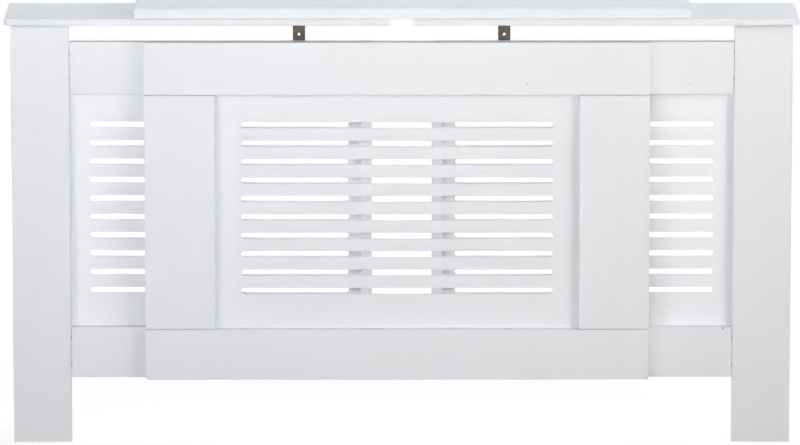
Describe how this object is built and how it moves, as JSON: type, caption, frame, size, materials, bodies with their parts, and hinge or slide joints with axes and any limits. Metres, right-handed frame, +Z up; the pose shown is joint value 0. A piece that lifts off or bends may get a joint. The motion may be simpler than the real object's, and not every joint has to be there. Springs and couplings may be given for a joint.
{
  "type": "radiator cover cabinet",
  "caption": "White painted cabinet that stands over a wall radiator: slotted front grilles, a shelf on top, and side units that slide behind the centre panel to change its width.",
  "frame": {"origin": "on the floor, below the middle of the cabinet's box", "axes": "+X to the right seen from the room, +Y to the wall, +Z up"},
  "size_m": [1.468, 0.19, 0.824],
  "materials": {
    "white_paint": "satin white paint on medium density fibreboard",
    "bronzed_steel": "dark bronzed, satin",
    "zinc_plate": "bright zinc plated",
    "cast_zinc": "as cast, matt",
    "anodised_aluminium": "clear anodised, satin",
    "beech": "plain, unfinished"
  },
  "bodies": {
    "centre_unit": {"centre_top_rail": "white_paint", "centre_bottom_rail": "white_paint", "centre_left_stile": "white_paint", "centre_right_stile": "white_paint", "centre_grille": "white_paint", "centre_grille_screws": "zinc_plate", "centre_dowels": "beech", "upper_channel": "anodised_aluminium", "lower_channel": "anodised_aluminium"},
    "left_unit": {"left_post": "white_paint", "left_end_panel": "white_paint", "left_top_rail": "white_paint", "left_bottom_rail": "white_paint", "left_inner_stile": "white_paint", "left_grille": "white_paint", "left_shelf": "white_paint", "left_bracket": "bronzed_steel", "left_bracket_screws": "bronzed_steel", "left_grille_screws": "zinc_plate", "left_post_dowels": "beech", "left_shelf_dowels": "beech", "left_frame_dowels": "beech", "left_cam_locks": "cast_zinc", "left_cam_bolts": "zinc_plate", "left_clamp_screws": "zinc_plate", "left_clamp_washers": "zinc_plate", "left_channel_nuts": "zinc_plate"},
    "right_unit": {"right_post": "white_paint", "right_end_panel": "white_paint", "right_top_rail": "white_paint", "right_bottom_rail": "white_paint", "right_inner_stile": "white_paint", "right_grille": "white_paint", "right_shelf": "white_paint", "right_bracket": "bronzed_steel", "right_bracket_screws": "bronzed_steel", "right_grille_screws": "zinc_plate", "right_post_dowels": "beech", "right_shelf_dowels": "beech", "right_frame_dowels": "beech", "right_cam_locks": "cast_zinc", "right_cam_bolts": "zinc_plate", "right_clamp_screws": "zinc_plate", "right_clamp_washers": "zinc_plate", "right_channel_nuts": "zinc_plate"},
    "top_cover": {"top_cover": "white_paint"}
  },
  "joints": [
    {"name": "left_slide", "type": "slide", "parent": "centre_unit", "child": "left_unit", "axis": [-1, 0, 0], "range_m": [-0.021, 0.25]},
    {"name": "right_slide", "type": "slide", "parent": "centre_unit", "child": "right_unit", "axis": [1, 0, 0], "range_m": [-0.021, 0.25]},
    {"name": "cover_slide", "type": "slide", "parent": "centre_unit", "child": "top_cover", "axis": [1, 0, 0], "range_m": [-0.15, 0.15]}
  ]
}
